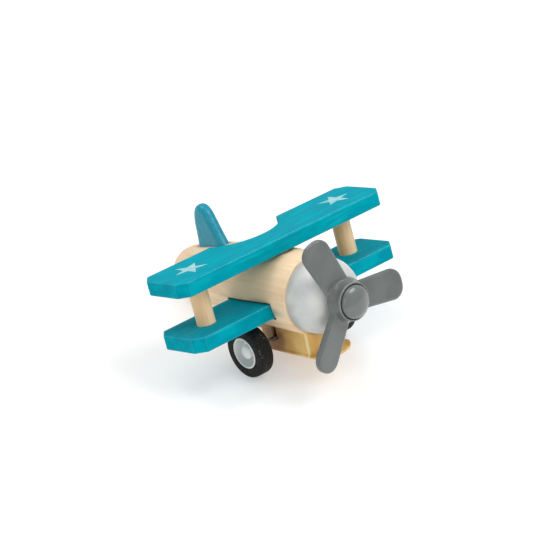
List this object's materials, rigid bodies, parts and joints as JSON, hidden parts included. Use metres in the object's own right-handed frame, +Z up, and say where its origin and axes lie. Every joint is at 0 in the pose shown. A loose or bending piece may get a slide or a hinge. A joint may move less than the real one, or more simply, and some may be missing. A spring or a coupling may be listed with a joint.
{
  "type": "toy airplane",
  "caption": "Small wooden toy biplane with dowel struts, a free-spinning propeller and a pull-back motor geared to its rubber-tyred wheels.",
  "frame": {"origin": "on the floor, under the centre of the bounding box", "axes": "+Z up; -Y is the nose end, +Y the tail; +X is the plane's left wing. It stands nose-up on its tyres and tail."},
  "size_m": [0.1, 0.1, 0.0626],
  "materials": {
    "natural_wood": "sanded, clear satin",
    "dowel_wood": "sanded, unpainted",
    "teal_paint": "satin teal paint over wood",
    "teal_gloss": "gloss teal paint over wood",
    "silver_paint": "pearl silver paint over wood",
    "grey_plastic": "satin moulded",
    "tyre_rubber": "matte, lightly speckled",
    "hub_plastic": "semi-gloss moulded",
    "amber_plastic": "semi-gloss, slightly translucent",
    "gear_plastic": "natural moulded",
    "steel": "drawn",
    "spring_steel": "blued strip"
  },
  "bodies": {
    "airframe": {"fuselage": "natural_wood", "nose_dome": "silver_paint", "upper_wing": "teal_paint", "lower_wing": "teal_paint", "strut_left": "dowel_wood", "strut_right": "dowel_wood", "wing_dowel_front": "dowel_wood", "wing_dowel_rear": "dowel_wood", "tail_fin": "teal_gloss", "propeller_pin": "grey_plastic", "motor_tub": "amber_plastic", "motor_lid": "amber_plastic", "drive_gear_pin": "steel", "spring_arbor": "steel", "motor_screw_front": "steel", "motor_screw_rear": "steel"},
    "propeller": {"propeller": "grey_plastic"},
    "wheelset": {"drive_axle": "steel", "axle_pinion": "gear_plastic", "wheel_hub_left": "hub_plastic", "wheel_hub_right": "hub_plastic", "tyre_left": "tyre_rubber", "tyre_right": "tyre_rubber"},
    "drive_gear": {"drive_gear": "gear_plastic"},
    "barrel": {"barrel_gear": "gear_plastic", "mainspring": "spring_steel"}
  },
  "joints": [
    {"name": "propeller_spin", "type": "hinge", "parent": "airframe", "child": "propeller", "pos_m": [0, -0.04165, 0.03758], "axis": [0, -0.9462, 0.3236], "continuous": true},
    {"name": "axle_spin", "type": "hinge", "parent": "airframe", "child": "wheelset", "pos_m": [0, -0.01376, 0.0099], "axis": [1, 0, 0], "continuous": true},
    {"name": "drive_gear_spin", "type": "hinge", "parent": "airframe", "child": "drive_gear", "pos_m": [0, -0.01852, 0.01355], "axis": [1, 0, 0], "continuous": true},
    {"name": "barrel_spin", "type": "hinge", "parent": "airframe", "child": "barrel", "pos_m": [0, -0.0242, 0.01549], "axis": [1, 0, 0], "continuous": true}
  ],
  "couplings": [
    {"joint": "drive_gear_spin", "follows": "axle_spin", "ratio": -0.5},
    {"joint": "barrel_spin", "follows": "axle_spin", "ratio": 0.25}
  ]
}
